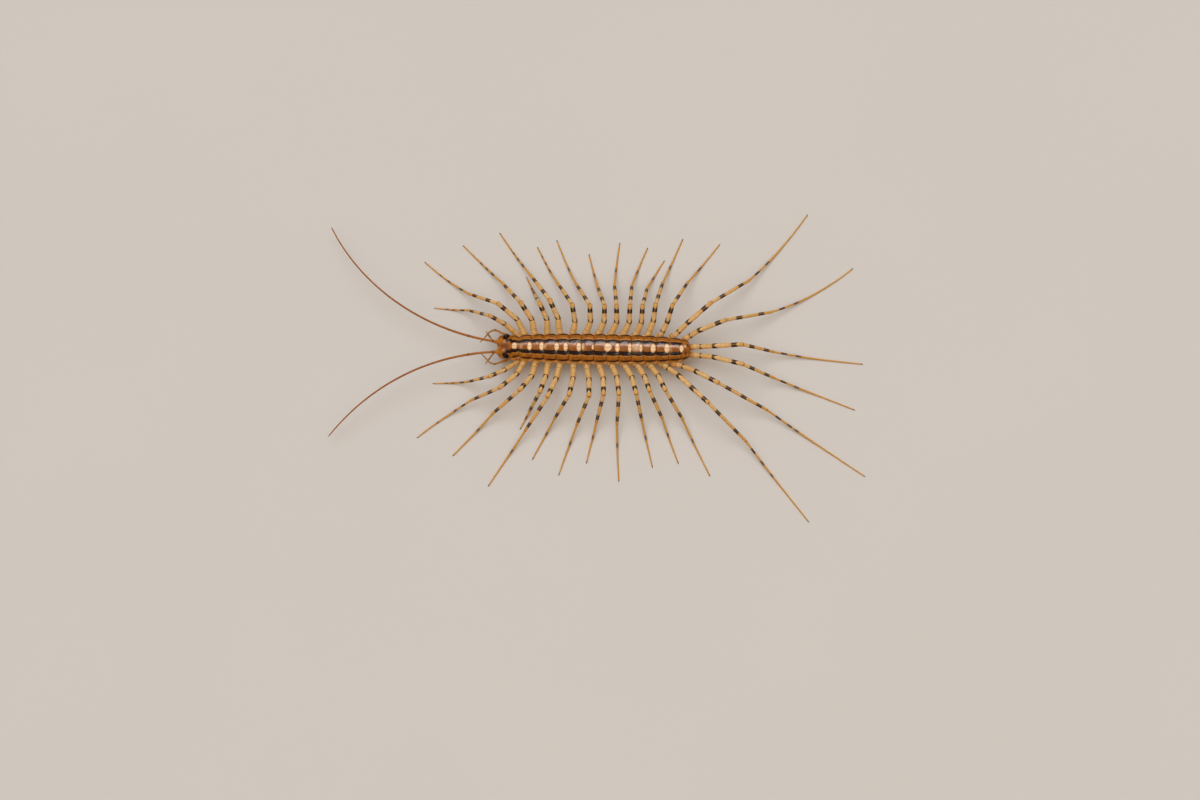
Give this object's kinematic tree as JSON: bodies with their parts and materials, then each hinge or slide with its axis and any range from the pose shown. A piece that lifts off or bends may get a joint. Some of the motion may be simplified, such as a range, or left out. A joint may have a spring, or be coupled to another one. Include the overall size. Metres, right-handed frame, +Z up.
{
  "type": "house centipede",
  "caption": "Life-size still model of a house centipede resting on a flat surface: striped plated body, long feelers and long banded legs spread wide.",
  "frame": {"origin": "on the floor, under the middle of the whole outline, tips of legs and antennae included", "axes": "+Z up from the floor, the head towards -Y and the tail towards +Y, +X to the animal's left"},
  "size_m": [0.0492, 0.0848, 0.0052],
  "materials": {
    "plates": "glossy chitin, orange-brown with dark stripes and a row of cream spots",
    "head": "glossy orange-brown chitin",
    "eyes": "glossy black faceted eye",
    "antennae": "rusty brown, finely ringed",
    "mouthparts": "translucent orange-brown chitin",
    "legs": "straw-coloured chitin with near-black bands"
  },
  "bodies": {
    "root": {"head": "head", "eye_left": "eyes", "antenna_left": "antennae", "palp_outer_left": "mouthparts", "palp_inner_left": "mouthparts", "fang_left": "mouthparts", "eye_right": "eyes", "antenna_right": "antennae", "palp_outer_right": "mouthparts", "palp_inner_right": "mouthparts", "fang_right": "mouthparts", "trunk_01": "plates", "trunk_02": "plates", "trunk_03": "plates", "trunk_04": "plates", "trunk_05": "plates", "trunk_06": "plates", "trunk_07": "plates", "trunk_08": "plates", "trunk_09": "plates", "trunk_10": "plates", "trunk_11": "plates", "trunk_12": "plates", "trunk_13": "plates", "tail": "plates", "leg_right_01": "legs", "leg_right_02": "legs", "leg_right_03": "legs", "leg_right_04": "legs", "leg_right_05": "legs", "leg_right_06": "legs", "leg_right_07": "legs", "leg_right_08": "legs", "leg_right_09": "legs", "leg_right_10": "legs", "leg_right_11": "legs", "leg_right_12": "legs", "leg_right_13": "legs", "leg_right_14": "legs", "leg_right_15": "legs", "leg_right_16": "legs", "leg_left_01": "legs", "leg_left_02": "legs", "leg_left_03": "legs", "leg_left_04": "legs", "leg_left_05": "legs", "leg_left_06": "legs", "leg_left_07": "legs", "leg_left_08": "legs", "leg_left_09": "legs", "leg_left_10": "legs", "leg_left_11": "legs", "leg_left_12": "legs", "leg_left_13": "legs", "leg_left_14": "legs", "leg_left_15": "legs"}
  },
  "joints": []
}
